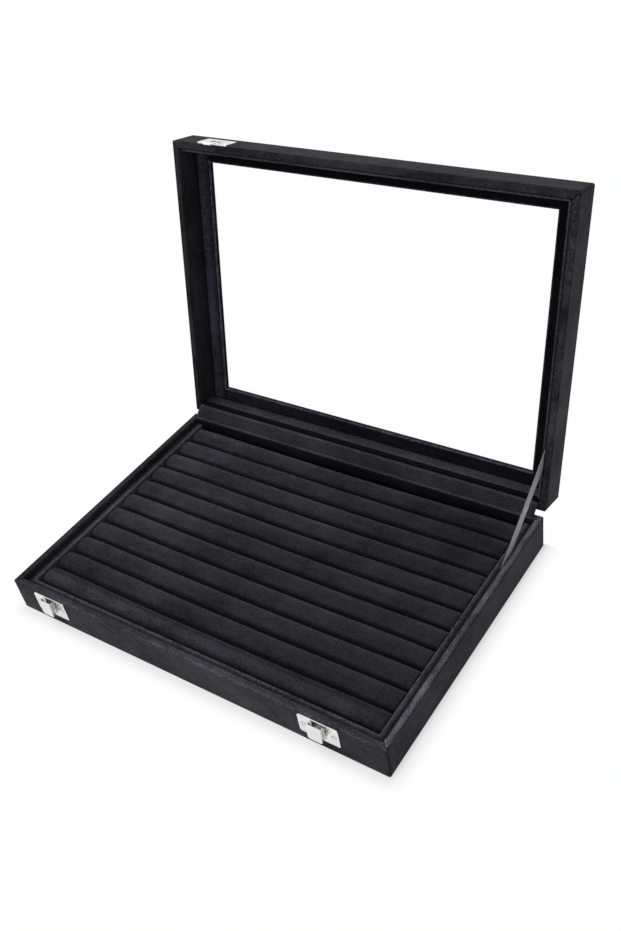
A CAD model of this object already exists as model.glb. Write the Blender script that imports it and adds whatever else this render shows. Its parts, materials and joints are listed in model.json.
"""Ring display box: velvet, padded rolls, ribbon, metal and glass over the case's fixed frame."""

import json
import math

import bpy
import numpy as np
from bpy.props import FloatProperty, FloatVectorProperty, IntProperty, PointerProperty
from bpy.types import Operator, Panel, PropertyGroup
from mathutils import Matrix, Vector


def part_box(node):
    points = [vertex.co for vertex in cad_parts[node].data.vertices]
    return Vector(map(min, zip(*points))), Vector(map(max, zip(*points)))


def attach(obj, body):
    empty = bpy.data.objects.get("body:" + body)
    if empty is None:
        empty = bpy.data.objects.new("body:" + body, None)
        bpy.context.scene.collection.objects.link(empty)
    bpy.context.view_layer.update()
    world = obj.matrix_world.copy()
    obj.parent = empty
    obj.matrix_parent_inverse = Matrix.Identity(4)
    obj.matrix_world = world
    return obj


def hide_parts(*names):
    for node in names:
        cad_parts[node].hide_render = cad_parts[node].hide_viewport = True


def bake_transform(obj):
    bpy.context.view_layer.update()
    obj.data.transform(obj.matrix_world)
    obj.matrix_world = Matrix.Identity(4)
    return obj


bl_info = {
    "name": "Ring Display Box",
    "version": (1, 0, 0),
    "blender": (4, 5, 0),
    "location": "View3D > Sidebar > Ring Box",
    "description": "Dresses a velvet case with ring rolls, a glazed lid, a ribbon stay and two catches",
    "category": "Object",
}

IMAGE_H = 931

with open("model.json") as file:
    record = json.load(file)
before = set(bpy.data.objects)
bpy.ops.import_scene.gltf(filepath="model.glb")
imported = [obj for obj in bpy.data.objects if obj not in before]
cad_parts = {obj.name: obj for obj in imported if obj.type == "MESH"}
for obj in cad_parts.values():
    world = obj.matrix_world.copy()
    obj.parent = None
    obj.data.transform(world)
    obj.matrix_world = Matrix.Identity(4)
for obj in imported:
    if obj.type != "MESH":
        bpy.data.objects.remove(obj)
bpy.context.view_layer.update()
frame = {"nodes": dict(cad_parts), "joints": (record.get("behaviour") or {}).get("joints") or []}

ROLLS = sorted(n for n in frame["nodes"] if n.startswith("roll_"))
ROLLS_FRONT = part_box(ROLLS[0])[0][1]
ROLL_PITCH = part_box(ROLLS[1])[0][1] - ROLLS_FRONT

HINGE = next(j for j in frame["joints"] if j["name"] == "lid_hinge")
AXIS = np.array(HINGE["pos_m"])
OPEN_ANGLE = math.radians(HINGE["range_deg"][1])

# The case, in metres. The lid's own sizes count from where it is shut.
HALF_W, HALF_D, RIM_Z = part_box("base_right_wall")[1]
LID_GAP = 0.0004
LID_LIP = 0.002
LID_RIM_Z = RIM_Z + LID_GAP
LID_H = 0.025
WALL = 0.006
LEDGE_IN, LEDGE_OUT = (corner[0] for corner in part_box("tray_right_side"))
FRONT_LEDGE_IN = -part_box("tray_front_side")[1][1]
LINER_RIM = LID_RIM_Z + 0.001
LINER_HALF = (0.1670, 0.1130)
FRAME_Z = 0.0499
WINDOW_HALF = (0.1535, 0.1020)

# Catches and strike: the tongue, then (across, height, radius) of a screw, (across, height) of a mark.
CATCH_XS = tuple((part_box(n)[0][0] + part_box(n)[1][0]) / 2
                 for n in ("catch_tongue_left", "catch_tongue_right"))
TONGUE_LOW, TONGUE_HIGH = (corner[2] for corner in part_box("catch_tongue_left"))
TONGUE_HALF = 0.006
CATCH_SCREW = (0.0123, 0.0194, 0.0020)
STRIKE_MARK = (0.0032, 0.0365)
STRIKE_MARK_HALF = (0.0028, 0.0024)

# Hinges: (middle of a leaf, screw across from it, screw away from the axis, radius of its head).
HINGE_SCREW = (0.110, 0.011, 0.009, 0.0019)

# Ribbon and hinge cloth: what is tucked away at their ends, and where the cloth folds along its width.
RIBBON_TUCK = (0.0165, 0.0090)
RIBBON_HALF = 0.005
CLOTH_Y = 0.11375
CLOTH_THICK = 0.0003
CLOTH_TUCK = 0.006
CLOTH_FOLD = (0.0068, 0.0188)
HINGE_SHADOW = 0.0375

# Velvet: the relief of its nap, and where the covered frame's group is given other values than its own.
NAP_HEIGHT = 0.0005
BASE_FOLDS = {"lid": False}
LID_FOLDS = {"lid": True, "Half_Depth": HALF_D + LID_LIP / 2, "Low_Rim": LID_RIM_Z,
             "High_Rim": LID_RIM_Z + LID_H, "Open_Rim": LID_RIM_Z, "Edges": 0.15}

LINER_NODES = ("lid_front_liner", "lid_back_liner", "lid_left_liner", "lid_right_liner")
CATCH_NODES = ("catch_plate_left", "catch_plate_right", "catch_pins", "catch_screws",
               "catch_tongue_left", "catch_tongue_right")
BASE_HINGE_NODES = ("hinge_leaf_base_left", "hinge_leaf_base_right", "hinge_screws_base", "hinge_pins")
LID_HINGE_NODES = ("hinge_leaf_lid_left", "hinge_leaf_lid_right", "hinge_screws_lid")


# ---- Settings ----


def colour_setting(name, description, default):
    """A colour that a user may change."""
    return FloatVectorProperty(name=name, description=description, subtype="COLOR", size=3, min=0, max=1,
                               default=default)


def number_setting(name, description, low, high, default, **kind):
    """A number that a user may change, between two limits."""
    return FloatProperty(name=name, description=description, min=low, max=high, default=default, **kind)


def distance_setting(*values):
    """A distance in metres that a user may change, between two limits."""
    return number_setting(*values, subtype="DISTANCE", unit="LENGTH")


def angle_setting(name, description, degrees):
    """An angle that a user may change."""
    return FloatProperty(name=name, description=description, subtype="ANGLE", unit="ROTATION",
                         default=math.radians(degrees))


class VelvetSettings(PropertyGroup):
    """Colours and nap of the velvet."""

    case_colour: colour_setting("Case colour", "Velvet on the outside of base and lid",
                                (0.0215, 0.0209, 0.0263))
    lining_colour: colour_setting("Lining colour", "Velvet inside the lid and behind the rolls",
                                  (0.0198, 0.0192, 0.0245))
    window_colour: colour_setting("Window colour", "Velvet on the frame round the glass",
                                  (0.0034, 0.0032, 0.0046))
    roll_colour: colour_setting("Roll colour", "Velvet on the ring rolls", (0.0215, 0.0206, 0.0268))
    sheen_tint: colour_setting("Sheen colour", "Colour of the pile's bright edge", (0.79, 0.775, 0.93))
    nap_grain: distance_setting("Nap grain", "Size of one tuft of the nap", 0.0001, 0.003, 0.0010)
    patch_size: distance_setting("Brushed patches", "Size of the patches where the nap lies differently",
                                 0.005, 0.2, 0.016)


class RollSettings(PropertyGroup):
    """Shape and filling of the ring rolls."""

    slack: distance_setting("Slack", "How much smaller a roll starts before it is filled", 0, 0.002, 0.0005)
    squareness: number_setting("Squareness", "Exponent of the cross-section, 2 for a circle", 2, 4, 2.45)
    end_radius: distance_setting("End radius", "Rounding of a roll's flat ends", 0.0003, 0.006, 0.0015)
    pressure: number_setting("Filling pressure", "Pressure that fills the cloth", 0, 20, 4)
    cap: distance_setting("Largest swell", "Most that a point of the cloth may move", 0, 0.003, 0.0009)
    frames: IntProperty(name="Steps", description="Steps of the filling", min=2, max=60, default=20)
    waviness: distance_setting("Waviness", "How far a roll strays from a straight line", 0, 0.002, 0.00025)


class RibbonSettings(PropertyGroup):
    """The stay ribbon and the cloth along the hinge."""

    colour: colour_setting("Ribbon colour", "Satin of the stay ribbon", (0.30, 0.30, 0.315))
    base_reach: distance_setting("Reach on the base",
                                 "From the back of the case to the ribbon's lower end", 0.01, 0.2, 0.051)
    lid_reach: distance_setting("Reach on the lid",
                                "From the back of the case to the ribbon's upper end", 0.01, 0.2, 0.042)
    cloth_bulge: distance_setting("Cloth bulge", "How far the hinge cloth bulges into the case",
                                  0, 0.004, 0.0012)


class MetalSettings(PropertyGroup):
    """Nickel of catches, strikes and hinges."""

    colour: colour_setting("Nickel colour", "Plated metal of catches and hinges", (0.80, 0.80, 0.795))
    scratch_size: distance_setting("Scratch spacing", "Distance between scratches", 0.0001, 0.01, 0.0011)


class StageSettings(PropertyGroup):
    """Camera, lamps and floor."""

    focal: number_setting("Focal length", "Focal length in heights of the picture",
                          0.2, 5, 1008.32 / IMAGE_H)
    azimuth: angle_setting("Azimuth", "Direction of the camera, 0 looks along +Y", 41.33)
    elevation: angle_setting("Elevation", "Height of the camera above the horizon", 41.2)
    roll: angle_setting("Roll", "Turn of the camera about its own axis", -11.55)
    distance: distance_setting("Distance", "Distance of the camera from its aim", 0.1, 10, 0.77352)
    aim: FloatVectorProperty(
        name="Aim", description="Shift of the aim along the picture, right and up",
        subtype="TRANSLATION", unit="LENGTH", size=2, default=(0.03639, 0.00895))
    shift: FloatVectorProperty(
        name="Shift", description="Shift of the lens, in heights of the picture",
        size=2, default=(-0.00245, 0.0476))
    sky: number_setting("Room light", "Light from all round", 0, 3, 0.4)
    near_glow: FloatVectorProperty(
        name="Glow at the case", description="Share of plain white in front of the case and beside it",
        size=2, min=0, max=1, default=(0.58, 0.76))
    far_glow: number_setting("Glow away", "Share of plain white in the floor away from the case",
                             0, 1, 0.985)
    shadow_reach: distance_setting("Shadow reach", "How far the case's shadow shows", 0.005, 1, 0.0145)


class RingBoxSettings(PropertyGroup):
    """All settings of the ring display box."""

    velvet: PointerProperty(type=VelvetSettings)
    rolls: PointerProperty(type=RollSettings)
    ribbon: PointerProperty(type=RibbonSettings)
    metal: PointerProperty(type=MetalSettings)
    stage: PointerProperty(type=StageSettings)


# ---- Meshes ----


def put_mesh(name, points, faces, uv=None):
    """Makes a smooth mesh object from points and faces, and from an (n, 2) array of the points' UVs."""
    mesh = bpy.data.meshes.new(name)
    mesh.from_pydata(points, [], faces, shade_flat=False)
    if uv is not None:
        layer = mesh.uv_layers.new(name="UVMap")
        layer.data.foreach_set("uv", uv[np.concatenate(faces)].ravel())
    obj = bpy.data.objects.new(name, mesh)
    bpy.context.scene.collection.objects.link(obj)
    return obj


def tube_quads(rows, cols):
    """Quads between rows of points; in each row the last point is joined to the first."""
    r, c = np.meshgrid(np.arange(rows - 1), np.arange(cols), indexing="ij")
    right = (c + 1) % cols
    quads = np.stack([r * cols + c, r * cols + right, (r + 1) * cols + right, (r + 1) * cols + c], -1)
    return quads.reshape(-1, 4)


def wave(x, seed):
    """Smooth sum of four sines along x, about -1 to 1, with weights and phases from the seed."""
    rng = np.random.default_rng(seed)
    lengths = (0.31, 0.17, 0.083, 0.047)
    total = np.zeros_like(x)
    for length in lengths:
        height = rng.uniform(0.5, 1) * length ** 0.6
        total += height * np.sin(2 * np.pi * x / length + rng.uniform(0, 2 * np.pi))
    return total / (0.75 * sum(length ** 0.6 for length in lengths) * 1.2)


# ---- Materials ----


def step_of(operation, turned=False):
    """A method of Value that adds one Math node; turned puts the other number first."""
    def method(self, *others):
        return calc(self.tree, operation, *((*others, self) if turned else (self, *others)))
    return method


class Value:
    """An output of a node, to be worked with like a number: each step adds a Math node."""

    __add__, __radd__ = step_of("ADD"), step_of("ADD", turned=True)
    __sub__, __rsub__ = step_of("SUBTRACT"), step_of("SUBTRACT", turned=True)
    __mul__, __rmul__ = step_of("MULTIPLY"), step_of("MULTIPLY", turned=True)
    __truediv__, __rtruediv__ = step_of("DIVIDE"), step_of("DIVIDE", turned=True)
    __abs__, root, fraction, sine = (step_of(kind) for kind in ("ABSOLUTE", "SQRT", "FRACT", "SINE"))
    lowest, highest = step_of("MINIMUM"), step_of("MAXIMUM")
    under, over = step_of("LESS_THAN"), step_of("GREATER_THAN")

    def __init__(self, socket):
        self.socket = socket
        self.tree = socket.id_data

    def remap(self, low, high, to_low=0.0, to_high=1.0):
        """Smoothly maps low..high to to_low..to_high."""
        return Value(add(self.tree, "ShaderNodeMapRange", {
            "Value": self, "From Min": low, "From Max": high, "To Min": to_low, "To Max": to_high,
        }, interpolation_type="SMOOTHSTEP").outputs[0])

    def band(self, middle, half):
        """1 at the middle of a band, falling smoothly to 0 at its two sides."""
        return 1.0 - abs(self - middle).remap(0.0, half)

    def between(self, low, high, soft=0.0002):
        """1 between two limits, falling to 0 over a short way outside them."""
        return self.remap(low - soft, low) * self.remap(high + soft, high)


def feed(node, inputs):
    """Feeds a node's inputs, each from a Value, from a socket or with a plain value."""
    for key, value in inputs.items():
        value = value.socket if isinstance(value, Value) else value
        if isinstance(value, bpy.types.NodeSocket):
            node.id_data.links.new(value, node.inputs[key])
        else:
            node.inputs[key].default_value = value


def add(tree, kind, inputs=None, **settings):
    """Adds a node, sets its properties and feeds its inputs."""
    node = tree.nodes.new(kind)
    for key, value in settings.items():
        setattr(node, key, value)
    feed(node, inputs or {})
    return node


def calc(tree, operation, *values, clamp=False):
    """Adds a Math node and returns its Value."""
    inputs = dict(enumerate(values))
    return Value(add(tree, "ShaderNodeMath", inputs, operation=operation, use_clamp=clamp).outputs[0])


def length_of(a, b):
    """Length of a step with these two parts."""
    return (a * a + b * b).root()


def mixed(tree, share, first, second):
    """The first value where the share is 0, and the second where it is 1."""
    return Value(add(tree, "ShaderNodeMix", {0: share, 2: first, 3: second}, data_type="FLOAT").outputs[0])


def noise(tree, vector, scale, detail=2.0, roughness=0.5, distortion=0.0):
    """Noise from 0 to 1, with about scale features to the metre."""
    return Value(add(tree, "ShaderNodeTexNoise", {
        "Vector": vector, "Scale": scale, "Detail": detail, "Roughness": roughness,
        "Distortion": distortion}).outputs[0])


def toned(tree, colour, tone):
    """A colour times a value."""
    inputs = {0: colour, "Scale": tone}
    return add(tree, "ShaderNodeVectorMath", inputs, operation="SCALE").outputs[0]


def bumped(tree, height, strength, size):
    """Normal of a surface that has this relief, size high."""
    inputs = {"Strength": strength, "Distance": size, "Height": height}
    return add(tree, "ShaderNodeBump", inputs).outputs[0]


def split(tree, vector):
    """The three coordinates of a vector."""
    return [Value(part) for part in add(tree, "ShaderNodeSeparateXYZ", {0: vector}).outputs]


def coords(tree, kind="Object", rotation=(0, 0, 0), scale=(1, 1, 1)):
    """Texture coordinates through a Mapping node, which scales and turns them."""
    source = tree.nodes.new("ShaderNodeTexCoord").outputs[kind]
    inputs = {"Vector": source, "Rotation": rotation, "Scale": scale}
    return add(tree, "ShaderNodeMapping", inputs).outputs[0]


def shut_coords(tree):
    """Object coordinates of the open lid, turned back to where the lid is shut and centred."""
    def moved(vector, step):
        return add(tree, "ShaderNodeVectorMath", {0: vector, 1: step}, operation="ADD").outputs[0]

    source = tree.nodes.new("ShaderNodeTexCoord").outputs["Object"]
    inputs = {"Vector": moved(source, tuple(-AXIS)), "Rotation": (OPEN_ANGLE, 0, 0)}
    turned = add(tree, "ShaderNodeMapping", inputs).outputs[0]
    return moved(turned, (0, AXIS[1] + LID_LIP / 2, AXIS[2]))


def new_group(name, inputs, outputs):
    """Makes a node group from {input: default} and {output: kind}: (tree, given, output node)."""
    tree = bpy.data.node_groups.new(name, "ShaderNodeTree")
    for key, default in inputs.items():
        kind = "Vector" if default is None else "Color" if isinstance(default, tuple) else "Float"
        made = tree.interface.new_socket(name=key, in_out="INPUT", socket_type="NodeSocket" + kind)
        if default is not None:
            made.default_value = default
    for key, kind in outputs.items():
        tree.interface.new_socket(name=key, in_out="OUTPUT", socket_type="NodeSocket" + kind)
    given = tree.nodes.new("NodeGroupInput").outputs
    return tree, {key: Value(given[key]) for key in inputs}, tree.nodes.new("NodeGroupOutput")


def nap_group(name):
    """Node group of velvet nap: brushed patches, long streaks, tufts and a few lint specks.

    Tone = 1 + contrast * (broad + patches + streaks) + tufts, each a noise centred on nothing. Lint
    is where a point lies within a speck's radius of a cell's centre, in the few cells that have one.
    """
    tree, given, out = new_group(name, {
        "Vector": None, "Colour": (0.02, 0.02, 0.02, 1), "Patch": 0.016, "Tuft": 0.0007,
        "Contrast": 0.35, "Shade": 1.0, "Grain": 4.5,
    }, {"Colour": "Color", "Height": "Float", "Roughness": "Float"})

    def centred(vector, scale, detail, roughness, weight, distortion=0.0):
        return (noise(tree, vector, scale, detail, roughness, distortion) - 0.5) * weight

    vector, per_patch = given["Vector"], 1.0 / given["Patch"]
    along = add(tree, "ShaderNodeMapping", {"Vector": vector, "Scale": (0.5, 1.0, 1.0)}).outputs[0]
    broad = centred(vector, per_patch * 0.35, 2.0, 0.5, 1.7, 0.2)
    patches = centred(along, per_patch * 1.5, 3.0, 0.5, 0.9, 0.2)
    streaks = centred(along, per_patch * 5.0, 3.0, 0.6, 1.1)
    tufts = centred(vector, 1.0 / given["Tuft"], 1.0, 0.6, given["Grain"])
    lie = broad + patches + streaks
    darkest, lint_light, lint_cells, lint_radius, bare_share = 0.3, 5.0, 80.0, 0.036, 0.93
    tone = (1.0 + (lie * given["Contrast"] + tufts)).highest(darkest) * given["Shade"]
    cells = add(tree, "ShaderNodeTexVoronoi", {"Vector": vector, "Scale": lint_cells}).outputs
    chance = Value(add(tree, "ShaderNodeSeparateColor", {0: cells["Color"]}).outputs[0])
    speck = Value(cells["Distance"]).under(lint_radius) * chance.over(bare_share)
    feed(out, {
        "Colour": toned(tree, given["Colour"], tone + speck * lint_light),
        "Height": tufts + lie * 0.4,
        "Roughness": calc(tree, "SUBTRACT", 0.85, lie * 0.10, clamp=True),
    })
    return tree


def board_group(name):
    """Node group of a velvet-covered frame: shade at its folded edges and mitred corners.

    x and y are counted inwards from the outer faces. Their difference is nothing on a corner's
    diagonal, below nothing on the long boards and above it on the side boards. Shade is a
    multiplier: a dark crease with a light lip on the mitre, a dark and a light line up each outer
    corner, a light line along the long boards' edges, a dark one along the side boards' edges,
    and dark inner faces, except at the left.
    """
    tree, given, out = new_group(name, {
        "Vector": None, "Half Width": HALF_W, "Half Depth": HALF_D, "Low Rim": 0.0, "High Rim": RIM_Z,
        "Open Rim": RIM_Z, "Edges": 1.0, "Thickness": WALL,
    }, {"Shade": "Float", "Crease": "Float"})
    x, y, z = split(tree, given["Vector"])
    in_x = given["Half Width"] - abs(x)
    in_y = given["Half Depth"] - abs(y)
    wobble = (noise(tree, given["Vector"], 1 / 0.004) - 0.5) * 0.0016
    off = in_y - in_x + wobble
    depth = in_x.lowest(in_y)
    near = 1.0 - in_x.highest(in_y).remap(0.0090, 0.0105)
    inside = depth.remap(0.0006, 0.0014)
    outside = 1.0 - inside
    crease = off.band(0.0, 0.0010) * near * inside
    lip = off.band(0.0013, 0.0009) * near * inside
    corner_dark = off.band(0.0010, 0.0020) * near * outside
    corner_light = off.band(-0.0020, 0.0022) * near * outside
    corner_glow = off.band(0.0065, 0.0035) * outside
    rim_off = abs(z - given["Low Rim"]).lowest(abs(z - given["High Rim"]))
    edge = (1.0 - (depth + rim_off).remap(0.0008, 0.0022)) * given["Edges"]
    rim_light = abs(z - given["Open Rim"]).band(0.0020, 0.0020) * 0.8
    groove = (given["Thickness"] - depth).remap(0.0018, 0.0005) * (1.0 - rim_light)
    groove = groove * x.remap(-0.172, -0.160)
    long_side = off.under(0.0)
    shade = (1.0 - crease + lip - corner_dark * 0.8 + corner_light * 0.5 + corner_glow * 0.3
             + edge * long_side * 0.35 - edge * (1.0 - long_side) * 0.45 - groove * 0.97)
    feed(out, {"Shade": shade.highest(0.04), "Crease": lip - crease})
    return tree


def group_node(tree, name, make, **inputs):
    """Places a node group, made when it is first used, and returns its outputs as Values."""
    node = tree.nodes.new("ShaderNodeGroup")
    node.node_tree = bpy.data.node_groups.get(name) or make(name)
    feed(node, {key.replace("_", " "): value for key, value in inputs.items()})
    return {socket.name: Value(socket) for socket in node.outputs}


def new_material(name):
    """A material with one Principled shader. Returns (material, tree, shader)."""
    material = bpy.data.materials.new(name)
    material.use_nodes = True
    tree = material.node_tree
    return material, tree, tree.nodes["Principled BSDF"]


def velvet(name, colour, settings, folds=None, shade=None, contrast=1.0, sheen=0.30, turn=(0, 0, 0),
           uv=False, bump=0.35, grain=3.8, gloss=0.12):
    """Velvet: dark pile with nap, a soft sheen at grazing angles, and creases at the folds.

    folds says whether the boards are the lid's and gives the covered frame's group its values. shade
    is a function of the tree that returns a multiplier of the colour.
    """
    material, tree, shader = new_material(name)
    tone = shade(tree) if shade else 1.0
    if folds:
        values = dict(folds)
        board_vector = shut_coords(tree) if values.pop("lid") else coords(tree)
        fold = group_node(tree, "Covered Frame", board_group, Vector=board_vector, **values)
        tone = tone * fold["Shade"]
    nap = group_node(tree, "Velvet Nap", nap_group, Colour=(*colour, 1), Shade=tone, Grain=grain,
                     Vector=coords(tree, "UV" if uv else "Object", rotation=turn),
                     Patch=settings.patch_size, Tuft=settings.nap_grain, Contrast=contrast)
    relief = nap["Height"] + fold["Crease"] * 1.5 if folds else nap["Height"]
    feed(shader, {
        "Base Color": nap["Colour"], "Roughness": nap["Roughness"],
        "Normal": bumped(tree, relief, bump, NAP_HEIGHT), "Specular IOR Level": gloss,
        "Sheen Weight": sheen, "Sheen Roughness": 0.28, "Sheen Tint": (*settings.sheen_tint, 1),
    })
    return material


def wall_shade(rims, faces, lid=False):
    """Shade of the walls: a level for their rims and one for their faces, each at left and right,
    and on the base a dark place in front, under each catch."""
    def shade(tree):
        x, y, z = split(tree, shut_coords(tree) if lid else coords(tree))
        rim_z, inward = (LID_RIM_Z, 1) if lid else (RIM_Z, -1)
        rim = z.remap(rim_z + inward * 0.0009, rim_z + inward * 0.0002)
        face_level, rim_level = (x.remap(-HALF_W, HALF_W, *pair) for pair in (faces, rims))
        level = mixed(tree, rim, face_level, rim_level)
        if lid:
            return level
        left, right = (abs(x - middle) for middle in CATCH_XS)
        under = left.lowest(right).remap(0.0160, 0.0060) * z.remap(0.0125, 0.0095) * y.remap(0.0, -0.1)
        return level * (1.0 - under * 0.7)
    return shade


def ledge_shade(tree):
    """Light at the tray ledge's inner edge, falling off to dark at the groove beside the wall."""
    x, y, _ = split(tree, coords(tree))
    out = (abs(x) - LEDGE_IN).highest(y * -1.0 - FRONT_LEDGE_IN)
    wide = LEDGE_OUT - LEDGE_IN
    return out.remap(0.0010, wide * 0.5, 2.8, 1.0) * out.remap(wide * 0.5, wide * 0.8, 1.0, 0.05)


def roll_shade(tree):
    """Shade over a roll, from its front at 0 to its back at 1: black in the front valley, dull on
    the front and light on the back. The front of the first roll and the back of the last are
    lighter, and so are the left ends."""
    x, y, _ = split(tree, coords(tree))
    turns = (y - ROLLS_FRONT) / ROLL_PITCH
    over = turns.fraction()
    shade = over.remap(0.01, 0.15, 0.06, 0.84) + over.remap(0.35, 0.9, 0.0, 0.62)
    shade = shade + over.remap(0.80, 0.95, 0.0, 0.35)
    bare = turns.remap(0.10, 0.35) * turns.remap(0.75, 0.50)
    dull = turns.remap(0.50, 0.70) * turns.remap(0.97, 0.90)
    last = turns.remap(10.3, 10.9, 0.0, 0.7)
    return (shade + bare * 0.6 - dull * 0.5 + last) * x.remap(-0.18, 0.14, 1.35, 0.82)


def liner_shade(tree):
    """Light on the thin rim of the lid's liner, and dark lines at the frame and over the hinge."""
    x, y, z = split(tree, shut_coords(tree))
    rim = z.remap(LINER_RIM + 0.0014, LINER_RIM + 0.0004) * x.remap(-0.166, -0.160, -0.5, 1.1)
    meeting = z.remap(FRAME_Z - 0.0022, FRAME_Z - 0.0002, 1.0, 0.3)
    at_hinge = y.remap(LINER_HALF[1] - 0.002, LINER_HALF[1] - 0.001)
    tuck = z.remap(HINGE_SHADOW - 0.0008, HINGE_SHADOW, 0.0, 2.6)
    fade = z.remap(HINGE_SHADOW, HINGE_SHADOW + 0.0060, 0.0, 0.5)
    return mixed(tree, at_hinge, meeting + rim, meeting * (tuck - fade))


def window_shade(tree):
    """Worn light edge round the window, a dark line at the liner, and a lighter left board."""
    x, y, _ = split(tree, shut_coords(tree))
    across, along = abs(x), abs(y)
    to_liner = (LINER_HALF[0] - across).lowest(LINER_HALF[1] - along)
    dark = to_liner.remap(0.0, 0.0012, 0.35, 1.0)
    left = x.remap(-0.166, -0.153, 14.0, 2.0) * x.remap(-0.153, -0.151, 1.0, 0.5)
    sill = y.remap(WINDOW_HALF[1] - 0.002, WINDOW_HALF[1]) * x.remap(-0.165, 0.10, 2.6, 0.6)
    level = left + sill * x.remap(-0.153, -0.151)
    from_window = (across - WINDOW_HALF[0]).highest(along - WINDOW_HALF[1])
    worn = noise(tree, coords(tree), 1 / 0.005, 3.0, 0.7).remap(0.35, 0.7, 9.0, 25.0)
    return dark * level + from_window.remap(0.0014, 0.0001) * worn


def back_shade(tree):
    """The tray's back lining falls off to black down behind the last roll."""
    return split(tree, coords(tree))[2].remap(0.0190, 0.0300, 0.12, 0.4)


def cloth_shade(tree):
    """Light folds along both edges of the hinge cloth, and black where it is tucked away."""
    reach = split(tree, coords(tree, "UV"))[1]
    low, high = CLOTH_FOLD
    folds = reach.band(low, 0.0014) * 1.5 + reach.band(high, 0.0020) * 1.1
    return (1.0 + folds) * reach.remap(high + 0.0008, high + 0.0020, 1.0, 0.2)


def catch_shade(tree):
    """Shade of a catch: dark inside the tongue's channel, dull on its flanks, a shadow on the
    plate beside it and a dark ring round each screw."""
    x, y, z = split(tree, coords(tree))
    left, right = (abs(x - middle) for middle in CATCH_XS)
    across = left.lowest(right)
    out = y * -1.0 - HALF_D
    tongue = z.between(TONGUE_LOW, TONGUE_HIGH)
    channel = across.between(-1.0, TONGUE_HALF - 0.0006) * out.between(-1.0, 0.0053)
    flank = across.between(TONGUE_HALF - 0.0002, TONGUE_HALF + 0.0001, soft=0.0001)
    flank = flank * out.between(0.0012, 0.0056)
    shadow = across.remap(TONGUE_HALF + 0.0014, TONGUE_HALF + 0.0003) * out.between(-1.0, 0.0010)
    screw_x, screw_z, head = CATCH_SCREW
    from_screw = length_of(across - screw_x, z - screw_z)
    ring = from_screw.between(head - 0.0002, head + 0.0002)
    streaks = noise(tree, coords(tree, scale=(1.0, 0.2, 1.0)), 1 / 0.0007).remap(0.35, 0.65, 0.30, 0.55)
    shade = 1.0
    for mask, dark in ((channel * tongue, streaks), (flank * tongue, 0.40), (shadow * tongue, 0.5),
                       (ring, 0.5)):
        shade = shade * (1.0 - mask * dark)
    return shade


def strike_shade(tree):
    """Two dark oval marks on the strike's pad."""
    x, _, z = split(tree, shut_coords(tree))
    off_x = (abs(x - CATCH_XS[0]) - STRIKE_MARK[0]) / STRIKE_MARK_HALF[0]
    off_z = (z - STRIKE_MARK[1]) / STRIKE_MARK_HALF[1]
    return (off_x * off_x + off_z * off_z).remap(0.5, 1.1, 0.06, 1.0)


def hinge_marks(lid):
    """Shade of a hinge leaf: a dark ring round each screw's head and a dark slot across it."""
    def shade(tree):
        x, _, z = split(tree, shut_coords(tree) if lid else coords(tree))
        leaf_x, screw_x, screw_z, head = HINGE_SCREW
        off_x = abs(abs(x) - leaf_x) - screw_x
        off_z = abs(z - AXIS[2]) - screw_z
        away = length_of(off_x, off_z)
        ring = away.between(head - 0.0002, head + 0.0002)
        slot = abs(off_z).between(-1.0, 0.0002) * away.between(-1.0, head - 0.0005)
        return 1.0 - ring.highest(slot) * 0.65
    return shade


def nickel(name, settings, marks):
    """Nickel plate: bright, with faint handling scratches and a slightly uneven polish.

    marks is a function of the tree that returns a multiplier of the colour.
    """
    material, tree, shader = new_material(name)
    haze = noise(tree, coords(tree), 1 / 0.006, 3.0, 0.6)
    stretched = coords(tree, scale=(0.12, 1.0, 1.0))
    scratches = noise(tree, stretched, 1 / (settings.scratch_size * 0.5), 2.0, 0.6).remap(0.55, 0.72)
    tone = haze.remap(0.3, 0.75, 0.90, 1.0) * marks(tree)
    feed(shader, {
        "Base Color": toned(tree, tuple(settings.colour), tone), "Metallic": 1.0,
        "Roughness": haze * 0.16 + scratches * 0.07 + 0.10,
        "Normal": bumped(tree, scratches * -0.3 + haze, 0.12, 0.0004),
    })
    return material


def mix_shader(tree, share, first, second):
    """Shows the first shader where the share is 0 and the second where it is 1."""
    mix = add(tree, "ShaderNodeMixShader", {0: share, 1: first.outputs[0], 2: second.outputs[0]})
    feed(tree.nodes["Material Output"], {"Surface": mix.outputs[0]})


def clear_glass():
    """Clear window glass that lets lamp light and the light from cloth and metal through."""
    material, tree, shader = new_material("Window Glass")
    feed(shader, {"Base Color": (0.995, 1.0, 0.998, 1), "Roughness": 0.0, "IOR": 1.15,
                  "Transmission Weight": 1.0})
    path = tree.nodes.new("ShaderNodeLightPath").outputs
    lamps = calc(tree, "ADD", path["Is Shadow Ray"], path["Is Diffuse Ray"])
    lighting = calc(tree, "ADD", lamps, path["Is Glossy Ray"], clamp=True)
    mix_shader(tree, lighting, shader, tree.nodes.new("ShaderNodeBsdfTransparent"))
    return material


def satin(settings):
    """Satin ribbon: fine ribs across a smooth shiny cloth, woven tighter at its edges."""
    material, tree, shader = new_material("Ribbon Satin")
    uv = coords(tree, "UV")
    across, along, _ = split(tree, uv)
    rib_pitch = 0.0005
    ribs = (along * (2 * math.pi / rib_pitch)).sine()
    edge = abs(across).remap(RIBBON_HALF - 0.0014, RIBBON_HALF - 0.0002)
    cloudy = noise(tree, uv, 1 / 0.012, 3.0, 0.6)
    tone = cloudy.remap(0.3, 0.7, 0.86, 1.08) + edge * -0.14 + ribs * 0.03
    feed(shader, {
        "Base Color": toned(tree, tuple(settings.colour), tone),
        "Roughness": cloudy.remap(0.2, 0.8, 0.34, 0.5),
        "Normal": bumped(tree, ribs * 0.5 + edge, 0.25, 0.0001),
        "Sheen Weight": 0.25, "Sheen Roughness": 0.3,
    })
    return material


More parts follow.
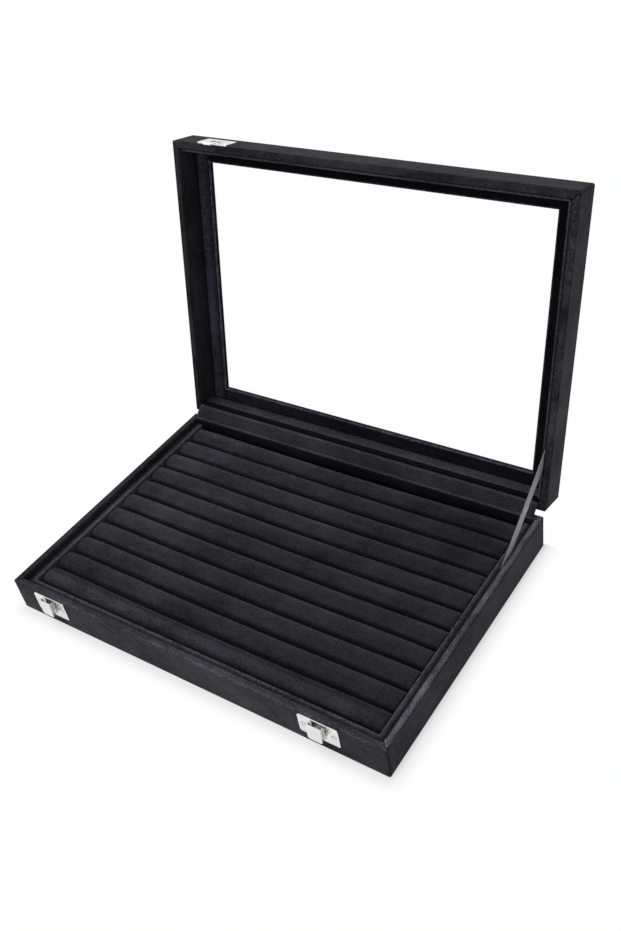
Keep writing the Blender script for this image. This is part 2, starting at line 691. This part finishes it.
def covered_board():
    """Board covered with dull black paper with a fine fibre grain."""
    material, tree, shader = new_material("Covered Board")
    fibre = noise(tree, coords(tree, scale=(0.25, 1, 1)), 1 / 0.0009, 3.0, 0.6)
    patch = noise(tree, coords(tree), 1 / 0.03, 3.0, 0.55)
    tone = fibre.remap(0.3, 0.7, 0.7, 1.15) + patch.remap(0.3, 0.7, -0.12, 0.12)
    feed(shader, {
        "Base Color": toned(tree, (0.018, 0.018, 0.020), tone),
        "Roughness": patch.remap(0.2, 0.8, 0.68, 0.88),
        "Normal": bumped(tree, fibre, 0.3, 0.0002),
    })
    return material


def dress(nodes, material):
    """Gives CAD nodes a material in place of the one they came with."""
    for name in nodes:
        data = frame["nodes"][name].data
        data.materials.clear()
        data.materials.append(material)


# ---- Operators ----


class RINGBOX_OT_case(Operator):
    """Covers the base, the tray and the lid with velvet brushed along each board"""

    bl_idname = "ringbox.case"
    bl_label = "Velvet Case"

    def execute(self, context):
        look = context.scene.ring_box.velvet
        quarter = math.pi / 2
        covers = (
            (("base_front_wall", "base_back_wall"), "Outer Velvet", dict(
                folds=BASE_FOLDS, shade=wall_shade((2.0, 1.8), (0.92, 0.86)), sheen=0.24, contrast=1.7)),
            (("base_left_wall", "base_right_wall"), "Outer Side Velvet", dict(
                folds=BASE_FOLDS, shade=wall_shade((1.0, 4.4), (1.0, 0.86)), turn=(0, 0, quarter),
                contrast=1.6)),
            (("tray_front_side", "tray_left_side", "tray_right_side"), "Tray Velvet", dict(
                shade=ledge_shade, turn=(0, 0, quarter))),
            (("lid_front_wall", "lid_back_wall"), "Lid Velvet", dict(
                folds=LID_FOLDS, shade=wall_shade((0.80, 0.80), (0.56, 0.56), lid=True), sheen=0.18,
                contrast=1.4, grain=3.2)),
            # The top frame is one flat board and has no inner faces to darken.
            (("lid_top_frame",), "Lid Top Velvet", dict(folds={**LID_FOLDS, "Thickness": 1.0})),
            (("lid_left_wall", "lid_right_wall"), "Lid Side Velvet", dict(
                folds=LID_FOLDS, shade=wall_shade((0.58, 1.45), (1.12, 1.12), lid=True),
                turn=(quarter, 0, quarter), contrast=2.0, grain=3.2)),
        )
        for nodes, name, finish in covers:
            dress(nodes, velvet(name, look.case_colour, look, **finish))
        return {"FINISHED"}


class RINGBOX_OT_lining(Operator):
    """Lines the lid and the back of the tray with velvet"""

    bl_idname = "ringbox.lining"
    bl_label = "Velvet Lining"

    def execute(self, context):
        look = context.scene.ring_box.velvet
        dress(LINER_NODES, velvet("Lining Velvet", look.lining_colour, look, shade=liner_shade,
                                  sheen=0.08, gloss=0.06))
        dress(("lid_inner_frame",), velvet("Window Velvet", look.window_colour, look,
                                           shade=window_shade, sheen=0.05, gloss=0.04))
        dress(("tray_back_lining",), velvet("Back Lining Velvet", look.lining_colour, look,
                                            shade=back_shade, sheen=0.02, gloss=0.03))
        return {"FINISHED"}


class RINGBOX_OT_boards(Operator):
    """Covers the underside and the tray's floor with paper"""

    bl_idname = "ringbox.boards"
    bl_label = "Covered Boards"

    def execute(self, context):
        dress(("base_bottom", "tray_floor"), covered_board())
        return {"FINISHED"}


class RINGBOX_OT_metal(Operator):
    """Plates the catches, strikes, hinges and screws"""

    bl_idname = "ringbox.metal"
    bl_label = "Nickel Fittings"

    def execute(self, context):
        metal = context.scene.ring_box.metal
        dress(CATCH_NODES, nickel("Catch Nickel", metal, catch_shade))
        dress(("strike_left", "strike_screws"), nickel("Strike Nickel", metal, strike_shade))
        dress(BASE_HINGE_NODES, nickel("Hinge Nickel", metal, hinge_marks(lid=False)))
        dress(LID_HINGE_NODES, nickel("Lid Hinge Nickel", metal, hinge_marks(lid=True)))
        return {"FINISHED"}


class RINGBOX_OT_glass(Operator):
    """Glazes the window in the lid"""

    bl_idname = "ringbox.glass"
    bl_label = "Window Glass"

    def execute(self, context):
        dress(("glass_pane",), clear_glass())
        return {"FINISHED"}


def roll_start(node, settings, seed):
    """Cloth of one roll before it is filled: (points, quads, triangles).

    A superellipse |y/a|^n + |z/b|^n = 1 is carried along x. At each end a and b shrink along a
    quarter circle and then in rings to one pole. The whole strays by small sine waves.
    """
    steps_along, steps_round, steps_at_end = 78, 28, 4
    end_rings = np.array([0.12, 0.36, 0.62, 0.84])
    lo, hi = np.array(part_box(node))
    centre = (lo + hi) / 2
    half = (hi - lo) / 2 - settings.slack
    end_r = settings.end_radius
    turn = np.concatenate([np.zeros(len(end_rings)), np.linspace(0, np.pi / 2, steps_at_end)])
    share = np.concatenate([end_rings, np.ones(steps_at_end)])
    inset, rounding = end_r * (1 - np.cos(turn)), end_r * np.sin(turn)
    body_x = np.linspace(-half[0] + end_r, half[0] - end_r, steps_along + 2)[1:-1]
    xs = np.concatenate([-half[0] + inset, body_x, (half[0] - inset)[::-1]])
    ends = share[:, None] * (half[1:] - end_r) + rounding[:, None]
    size = np.concatenate([ends, np.tile(half[1:], (len(body_x), 1)), ends[::-1]])
    t = np.linspace(0, 2 * np.pi, steps_round, endpoint=False)
    circle = np.stack([np.cos(t), np.sin(t)], -1)
    ring = np.sign(circle) * np.abs(circle) ** (2 / settings.squareness)
    section = ring[None] * size[:, None]
    stray_y = settings.waviness * wave(xs, seed)
    stray_z = settings.waviness * 0.8 * wave(xs, seed + 50)
    points = np.stack([
        np.broadcast_to(xs[:, None], section.shape[:2]),
        section[..., 0] + stray_y[:, None],
        section[..., 1] + stray_z[:, None]], -1).reshape(-1, 3) + centre
    poles = np.stack([xs, stray_y, stray_z], -1)[[0, -1]] + centre
    rows, cols = len(xs), steps_round
    quads = tube_quads(rows, cols)[:, ::-1]
    here = np.arange(cols)
    following = (here + 1) % cols
    first_pole, last_pole, last_ring = rows * cols, rows * cols + 1, (rows - 1) * cols
    low_fan = np.stack([np.full(cols, first_pole), here, following], -1)
    high_fan = np.stack([np.full(cols, last_pole), last_ring + following, last_ring + here], -1)
    return np.concatenate([points, poles]), quads, np.concatenate([low_fan, high_fan])


def fill_cloth(obj, settings, resting):
    """Fills a closed cloth with pressure and returns where its points come to rest.

    resting is true for the points that lie on the tray's floor and stay where they are.
    """
    scene = bpy.context.scene
    group = obj.vertex_groups.new(name="resting")
    group.add(np.flatnonzero(resting).tolist(), 1.0, "REPLACE")
    cloth = obj.modifiers.new("Cloth", "CLOTH")
    fabric = cloth.settings
    fabric.quality = 5
    fabric.mass = 0.3
    fabric.tension_stiffness = fabric.compression_stiffness = 12
    fabric.shear_stiffness = 5
    fabric.bending_stiffness = 0.6
    fabric.use_pressure = True
    fabric.uniform_pressure_force = settings.pressure
    fabric.effector_weights.gravity = 0
    fabric.vertex_group_mass = group.name
    cloth.point_cache.frame_start = 1
    cloth.point_cache.frame_end = settings.frames
    for step in range(1, settings.frames + 1):
        scene.frame_set(step)
    shaped = obj.evaluated_get(bpy.context.evaluated_depsgraph_get()).to_mesh()
    points = np.empty(len(shaped.vertices) * 3, np.float32)
    shaped.vertices.foreach_get("co", points)
    obj.modifiers.remove(cloth)
    scene.frame_set(1)
    return points.reshape(-1, 3).astype(float)


class RINGBOX_OT_rolls(Operator):
    """Makes the padded ring rolls: cloth tubes filled by simulation, side by side in the tray"""

    bl_idname = "ringbox.rolls"
    bl_label = "Ring Rolls"

    def execute(self, context):
        box = context.scene.ring_box
        material = velvet("Roll Velvet", box.velvet.roll_colour, box.velvet, shade=roll_shade,
                          contrast=0.9, bump=0.25, grain=3.0)
        starts = [roll_start(n, box.rolls, 7 * i + 1) for i, n in enumerate(ROLLS)]
        first, quads, tris = starts[0]
        size = len(first)
        points = np.concatenate([start[0] for start in starts])
        filled = points
        firsts = (np.arange(len(ROLLS)) * size)[:, None, None]
        faces = [*(quads + firsts).reshape(-1, 4), *(tris + firsts).reshape(-1, 3)]
        cloth = put_mesh("roll_cloth", points, faces)
        filled = fill_cloth(cloth, box.rolls, points[:, 2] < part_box(ROLLS[0])[0][2] + 0.002)
        bpy.data.objects.remove(cloth)
        move = filled - points
        far = np.linalg.norm(move, axis=1)[:, None]
        move *= np.minimum(1.0, box.rolls.cap / np.maximum(far, 1e-9))
        filled = points + move
        side_room = np.array([0.0002, -0.00002, 0.0])
        top_room = np.array([0.0, 0.0, 0.0008])
        for i, name in enumerate(ROLLS):
            low, high = np.array(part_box(name))
            mine = np.clip(filled[i * size:(i + 1) * size], low - side_room, high + side_room + top_room)
            piece = put_mesh(f"ring_{name}", mine, [*quads, *tris])
            piece.data.materials.append(material)
            smooth = piece.modifiers.new("Smooth Cloth", "SUBSURF")
            smooth.levels = smooth.render_levels = 1
            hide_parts(name)
            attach(piece, "base")
        return {"FINISHED"}


def strip_mesh(name, line, width_axis, half_w, thick, across=9):
    """Thin cloth along a line of points: a flat closed shell, with (width, length) UVs in metres.

    The line's points carry a straight edge of 2 * half_w along width_axis. The two faces stand
    thick apart along the normal, which is the width axis crossed with the line's direction.
    """
    line = np.asarray(line, float)
    along = np.gradient(line, axis=0)
    along /= np.linalg.norm(along, axis=1)[:, None]
    normal = np.cross(width_axis, along)
    normal /= np.linalg.norm(normal, axis=1)[:, None]
    reach = np.concatenate([[0], np.cumsum(np.linalg.norm(np.diff(line, axis=0), axis=1))])
    u = np.linspace(-half_w, half_w, across)
    lip = np.concatenate([u, u[::-1]])
    out = np.concatenate([np.full(across, 0.5), np.full(across, -0.5)]) * thick
    loops = line[:, None] + lip[:, None] * width_axis + out[:, None] * normal[:, None]
    rows, cols = loops.shape[:2]
    quads = tube_quads(rows, cols)
    here = np.arange(across - 1)
    low_cap = np.stack([here, cols - 1 - here, cols - 2 - here, here + 1], -1)
    high_cap = low_cap[:, ::-1] + (rows - 1) * cols
    uv = np.stack(np.broadcast_arrays(lip, reach[:, None]), -1).reshape(-1, 2)
    faces = np.concatenate([quads, low_cap, high_cap])[:, ::-1]
    obj = put_mesh(name, loops.reshape(-1, 3), faces, uv=uv)
    return obj, float(reach[-1])


def opened(point):
    """Where a (y, z) point of the shut lid is when the lid stands open."""
    dy, dz = point[0] - AXIS[1], point[1] - AXIS[2]
    c, s = math.cos(OPEN_ANGLE), math.sin(OPEN_ANGLE)
    return np.array([AXIS[1] + dy * c + dz * s, AXIS[2] - dy * s + dz * c])


class RINGBOX_OT_ribbon(Operator):
    """Makes the satin stay ribbon that stops the lid"""

    bl_idname = "ringbox.ribbon"
    bl_label = "Stay Ribbon"

    def execute(self, context):
        look = context.scene.ring_box.ribbon
        lo, hi = np.array(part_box("stay_ribbon"))
        x = (lo[0] + hi[0]) / 2
        low = np.array([HALF_D - look.base_reach, RIM_Z])
        high = opened(np.array([HALF_D - look.lid_reach, LID_RIM_Z]))
        step = (high - low) / np.linalg.norm(high - low)
        start, end = low - step * RIBBON_TUCK[0], high + step * RIBBON_TUCK[1]
        line = np.linspace([x, *start], [x, *end], 61)
        width_axis = np.array([0.0, -step[1], step[0]])
        piece, length = strip_mesh("ribbon", line, width_axis, RIBBON_HALF, hi[0] - lo[0])
        piece.data.materials.append(satin(look))
        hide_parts("stay_ribbon")
        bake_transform(piece)
        return {"FINISHED"}


class RINGBOX_OT_hinge_cloth(Operator):
    """Makes the velvet strip that covers the gap between base and lid"""

    bl_idname = "ringbox.hinge_cloth"
    bl_label = "Hinge Cloth"

    def execute(self, context):
        box = context.scene.ring_box
        lo, hi = np.array(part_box("hinge_cloth"))
        low = np.array([CLOTH_Y, RIM_Z])
        high = opened(np.array([CLOTH_Y, LID_RIM_Z]))
        tip = opened(np.array([CLOTH_Y, LID_RIM_Z + CLOTH_TUCK]))
        t = np.linspace(0, 1, 17)[:, None]
        chord = high - low
        inward = np.array([-chord[1], chord[0]]) / np.linalg.norm(chord)
        middle = low * (1 - t) + high * t + inward * box.ribbon.cloth_bulge * np.sin(np.pi * t)
        foot = np.linspace(low - [0, CLOTH_TUCK], low, 7)[:-1]
        head = np.linspace(high, tip, 7)[1:]
        yz = np.concatenate([foot, middle, head])
        line = np.concatenate([np.zeros((len(yz), 1)), yz], 1)
        half_w = (hi[0] - lo[0]) / 2
        width_axis = np.array([1.0, 0.0, 0.0])
        piece, length = strip_mesh("hinge_cloth_strip", line, width_axis, half_w, CLOTH_THICK, across=81)
        piece.data.materials.append(velvet("Hinge Velvet", box.velvet.lining_colour, box.velvet, uv=True,
                                           shade=cloth_shade))
        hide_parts("hinge_cloth")
        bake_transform(piece)
        return {"FINISHED"}


def lamp(name, place, aim, size, power):
    """Soft square lamp at a place, turned to its aim."""
    data = bpy.data.lights.new(name, "AREA")
    data.shape = "RECTANGLE"
    data.size, data.size_y = size
    data.energy = power
    obj = bpy.data.objects.new(name, data)
    obj.location = place
    obj.rotation_mode = "QUATERNION"
    obj.rotation_quaternion = (Vector(aim) - Vector(place)).to_track_quat("-Z", "Y")
    bpy.context.scene.collection.objects.link(obj)


def seen_rays(tree):
    """1 for rays that show the background: from the camera, mirrored in metal or through glass."""
    path = tree.nodes.new("ShaderNodeLightPath").outputs
    mirrored = Value(path["Is Glossy Ray"]).highest(path["Is Transmission Ray"])
    return Value(path["Is Camera Ray"]).highest(mirrored)


def white_floor(settings):
    """White floor that glows for the rays that show it, less so where the case's shadow falls."""
    half, drop = 5.0, 0.0002
    corners = [[x * half, y * half, -drop] for x, y in ((-1, -1), (1, -1), (1, 1), (-1, 1))]
    floor = put_mesh("floor", corners, [[0, 1, 2, 3]])
    material, tree, shader = new_material("White Floor")
    feed(shader, {"Base Color": (0.92, 0.92, 0.92, 1), "Roughness": 0.9, "Specular IOR Level": 0.2})
    x, y, _ = split(tree, coords(tree))
    out_x = (abs(x) - HALF_W).highest(0.0)
    out_front = (y * -1.0 - HALF_D).highest(0.0)
    out_back = (y - HALF_D).highest(0.0)
    away = length_of(out_x, out_front + out_back * 5.0)
    near = out_x.remap(0.0, 0.004, *settings.near_glow)
    share = away.remap(0.002, settings.shadow_reach, near, settings.far_glow)
    glow = add(tree, "ShaderNodeEmission", {"Color": (1, 1, 1, 1), "Strength": 1.0})
    mix_shader(tree, seen_rays(tree) * share, shader, glow)
    floor.data.materials.append(material)


def white_room(scene, settings):
    """World that lights the box softly and shows as plain white."""
    scene.world = bpy.data.worlds.new("White Room")
    scene.world.use_nodes = True
    tree = scene.world.node_tree
    strength = add(tree, "ShaderNodeMapRange", {
        "Value": seen_rays(tree), "To Min": settings.sky, "To Max": 1.0}).outputs[0]
    feed(tree.nodes["Background"], {"Strength": strength, "Color": (1, 1, 1, 1)})


def put_camera(scene, settings):
    """Camera at a distance from its aim, turned by azimuth, elevation and roll."""
    sine, cosine = math.sin(settings.azimuth), math.cos(settings.azimuth)
    flat = math.cos(settings.elevation)
    back = np.array([sine * flat, -cosine * flat, math.sin(settings.elevation)])
    level = np.array([cosine, sine, 0.0])
    upright = np.cross(back, level)
    c, s = math.cos(settings.roll), math.sin(settings.roll)
    right, up = c * level + s * upright, -s * level + c * upright
    target = np.array([0, 0, 0.06])
    place = target + settings.aim[0] * right + settings.aim[1] * up + settings.distance * back
    data = bpy.data.cameras.new("Camera")
    data.sensor_fit = "VERTICAL"
    data.sensor_height = data.sensor_width = 24.0
    data.lens = settings.focal * data.sensor_height
    data.shift_x, data.shift_y = settings.shift
    data.clip_start, data.clip_end = 0.05, 50
    camera = bpy.data.objects.new("Camera", data)
    columns = np.stack([right, up, back, place], -1)
    camera.matrix_world = Matrix([*columns.tolist(), [0, 0, 0, 1]])
    scene.collection.objects.link(camera)
    scene.camera = camera


class RINGBOX_OT_stage(Operator):
    """Sets the floor, the lamps, the room and the camera"""

    bl_idname = "ringbox.stage"
    bl_label = "Stage"

    def execute(self, context):
        scene = context.scene
        scene.view_settings.view_transform = "Standard"
        settings = scene.ring_box.stage
        white_floor(settings)
        white_room(scene, settings)
        lamp("Overhead Lamp", (-0.55, -0.35, 1.7), (0, 0, 0.05), (1.5, 1.5), 15)
        lamp("Front Lamp", (-0.6, -1.9, 0.9), (0, 0, 0.1), (1.4, 1.2), 9)
        put_camera(scene, settings)
        return {"FINISHED"}


STEPS = (
    RINGBOX_OT_stage, RINGBOX_OT_case, RINGBOX_OT_lining, RINGBOX_OT_boards, RINGBOX_OT_rolls,
    RINGBOX_OT_ribbon, RINGBOX_OT_hinge_cloth, RINGBOX_OT_metal, RINGBOX_OT_glass,
)


class RINGBOX_PT_panel(Panel):
    """Lists the settings and the steps"""

    bl_idname = "RINGBOX_PT_panel"
    bl_label = "Ring Box"
    bl_space_type = "VIEW_3D"
    bl_region_type = "UI"
    bl_category = "Ring Box"

    def draw(self, context):
        box = context.scene.ring_box
        for step in STEPS:
            self.layout.operator(step.bl_idname)
        for name in ("velvet", "rolls", "ribbon", "metal", "stage"):
            part = self.layout.box()
            part.label(text=name.capitalize())
            group = getattr(box, name)
            for key in group.__annotations__:
                part.prop(group, key)


CLASSES = (
    VelvetSettings, RollSettings, RibbonSettings, MetalSettings, StageSettings, RingBoxSettings,
    *STEPS, RINGBOX_PT_panel,
)


def register():
    for c in CLASSES:
        bpy.utils.register_class(c)
    bpy.types.Scene.ring_box = PointerProperty(type=RingBoxSettings)


def unregister():
    del bpy.types.Scene.ring_box
    for c in reversed(CLASSES):
        bpy.utils.unregister_class(c)


def main():
    register()
    for step in STEPS:
        area, name = step.bl_idname.split(".")
        getattr(getattr(bpy.ops, area), name)()


if __name__ == "__main__":
    main()
